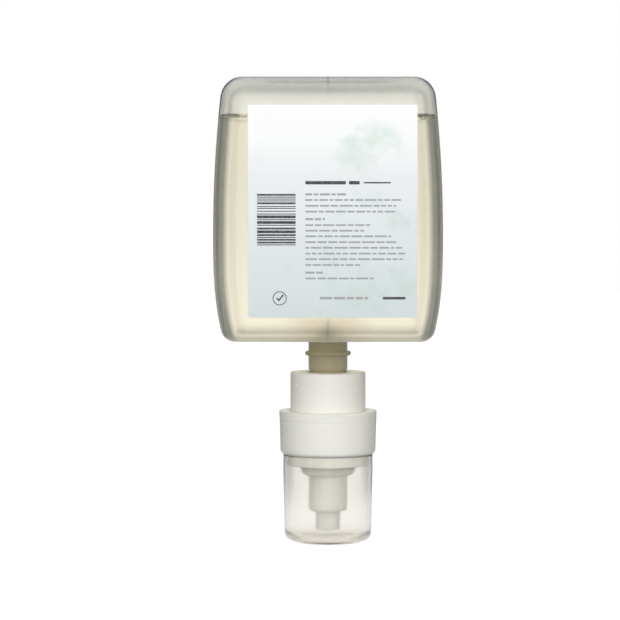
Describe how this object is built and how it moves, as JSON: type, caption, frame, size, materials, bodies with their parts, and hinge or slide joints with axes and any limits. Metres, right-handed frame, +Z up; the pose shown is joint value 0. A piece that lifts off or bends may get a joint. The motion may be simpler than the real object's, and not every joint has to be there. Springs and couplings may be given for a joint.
{
  "type": "foam soap refill cartridge",
  "caption": "Clear rounded-box soap bottle, neck down, with a white foam pump under it and a clear push-on cap over the nozzle.",
  "frame": {"origin": "middle of the clear cap's foot, on the surface that it stands on", "axes": "+Z up along the pump's axis towards the bottle; the label faces -Y and +X is to its right"},
  "size_m": [0.112, 0.0891, 0.2308],
  "materials": {
    "bottle_plastic": "see-through, faintly frosted, blow moulded",
    "soap": "clear pale yellow liquid",
    "label": "satin printed film",
    "white_plastic": "satin white moulding",
    "natural_plastic": "natural, slightly milky",
    "cap_plastic": "clear, faintly milky",
    "valve_rubber": "pale translucent rubber",
    "foam_mesh": "fine woven nylon mesh",
    "spring_steel": "bright drawn wire"
  },
  "bodies": {
    "cap": {"overcap": "cap_plastic"},
    "pack": {"bottle": "bottle_plastic", "soap_fill": "soap", "front_label": "label", "neck_seal": "valve_rubber", "neck_sleeve": "white_plastic", "collar": "white_plastic", "pump_cylinder": "natural_plastic", "inlet_valve": "valve_rubber", "return_spring": "spring_steel"},
    "pump": {"nozzle": "white_plastic", "piston_stem": "natural_plastic", "liquid_piston": "natural_plastic", "air_piston": "natural_plastic", "air_valve": "valve_rubber", "outlet_valve": "valve_rubber", "mesh_holder": "natural_plastic", "upper_mesh": "foam_mesh", "lower_mesh": "foam_mesh"}
  },
  "joints": [
    {"name": "cap_lift", "type": "slide", "parent": "cap", "child": "pack", "axis": [0, 0, 1], "range_m": [0, 0.04]},
    {"name": "pump_stroke", "type": "slide", "parent": "pack", "child": "pump", "axis": [0, 0, 1], "range_m": [0, 0.01], "stiffness_N_per_m": 900, "springref_m": -0.008, "deforming": ["return_spring"]}
  ]
}
